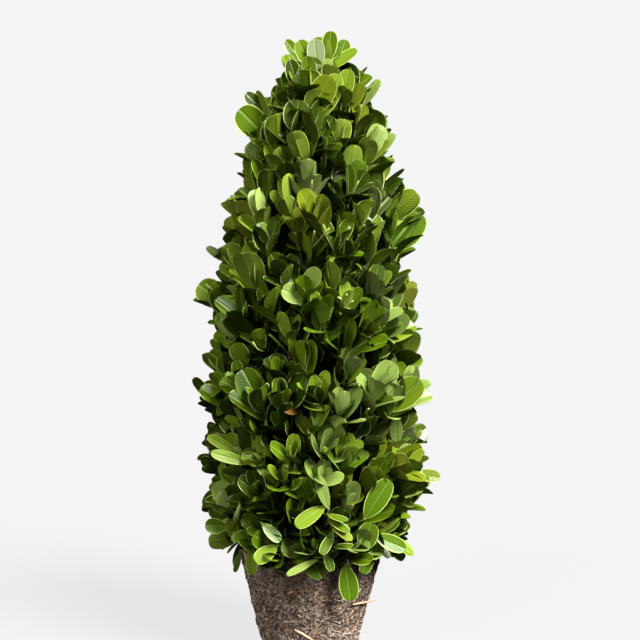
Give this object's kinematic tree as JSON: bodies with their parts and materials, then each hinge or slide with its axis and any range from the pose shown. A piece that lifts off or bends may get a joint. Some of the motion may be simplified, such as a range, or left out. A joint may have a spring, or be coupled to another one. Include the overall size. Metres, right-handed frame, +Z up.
{
  "type": "boxwood cone topiary",
  "caption": "Slender clipped cone of small oval evergreen leaves on a short stem, standing on its tapered, pot-shaped root ball.",
  "frame": {"origin": "middle of the root ball's flat underside, where the plant stands", "axes": "+Z up along the plant, -Y towards the side that the picture shows, +X to that side's right"},
  "size_m": [0.1567, 0.145, 0.3967],
  "materials": {
    "root_ball": "matt fibrous peat and coir held by fine roots",
    "bark": "matt, fine-ridged bark",
    "leaf": "semi-gloss green leaves with paler edges and undersides"
  },
  "bodies": {
    "root": {"root_ball": "root_ball", "stem": "bark", "foliage": "leaf"}
  },
  "joints": []
}
